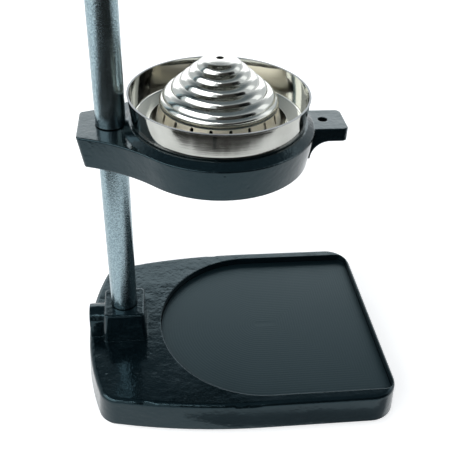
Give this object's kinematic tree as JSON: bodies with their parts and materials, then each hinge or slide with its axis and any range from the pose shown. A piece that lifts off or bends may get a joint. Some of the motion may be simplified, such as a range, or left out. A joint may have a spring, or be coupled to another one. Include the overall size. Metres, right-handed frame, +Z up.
{
  "type": "lever citrus press",
  "caption": "Standing citrus juicer: slotted cone in a funnel bowl on a post, with a lever-driven rack that lowers a press bell.",
  "frame": {"origin": "middle of the base outline, on the plane of the feet", "axes": "+Z up, +X from the post towards the drilled tab, Y across the press; lever on the -Y side"},
  "size_m": [0.2364, 0.181, 0.6904],
  "materials": {
    "enamel": "glossy black enamel",
    "ground_steel": "ground",
    "polished_steel": "mirror polished",
    "machined_steel": "machined, lightly oiled",
    "zinc_steel": "zinc plated",
    "bronze": "satin",
    "rubber": "matt",
    "mat": "matt, ribbed",
    "grip": "moulded, semi-gloss"
  },
  "bodies": {
    "frame": {"base_casting": "enamel", "ring_bracket": "enamel", "head_casting": "enamel", "head_cover": "enamel", "drip_mat": "mat", "foot_rear_near": "rubber", "foot_rear_far": "rubber", "foot_front_near": "rubber", "foot_front_far": "rubber", "foot_screws": "zinc_steel", "post": "ground_steel", "post_washer": "zinc_steel", "post_nut": "zinc_steel", "socket_set_screw": "zinc_steel", "bracket_set_screw": "zinc_steel", "head_set_screws": "zinc_steel", "cover_screws": "zinc_steel", "funnel_bowl": "polished_steel", "strainer_cone": "polished_steel", "shaft_bush_near": "bronze", "shaft_bush_far": "bronze"},
    "lever": {"pinion": "machined_steel", "pinion_key": "machined_steel", "pinion_shaft": "machined_steel", "shaft_retaining_ring": "machined_steel", "lever_hub": "enamel", "lever_rod": "ground_steel", "lever_grip": "grip", "lever_washer": "zinc_steel", "lever_nut": "zinc_steel"},
    "press": {"rack_bar": "machined_steel", "rack_stop_washer": "zinc_steel", "rack_stop_screw": "zinc_steel", "press_bell": "polished_steel", "bell_nut": "zinc_steel"}
  },
  "joints": [
    {"name": "lever_turn", "type": "hinge", "parent": "frame", "child": "lever", "pos_m": [-0.0602, 0, 0.408], "axis": [0, 1, 0], "range_deg": [0, 141.6]},
    {"name": "press_slide", "type": "slide", "parent": "frame", "child": "press", "axis": [0, 0, -1], "range_m": [0, 0.089]}
  ],
  "couplings": [
    {"joint": "press_slide", "follows": "lever_turn", "m_per_rad": 0.036}
  ]
}
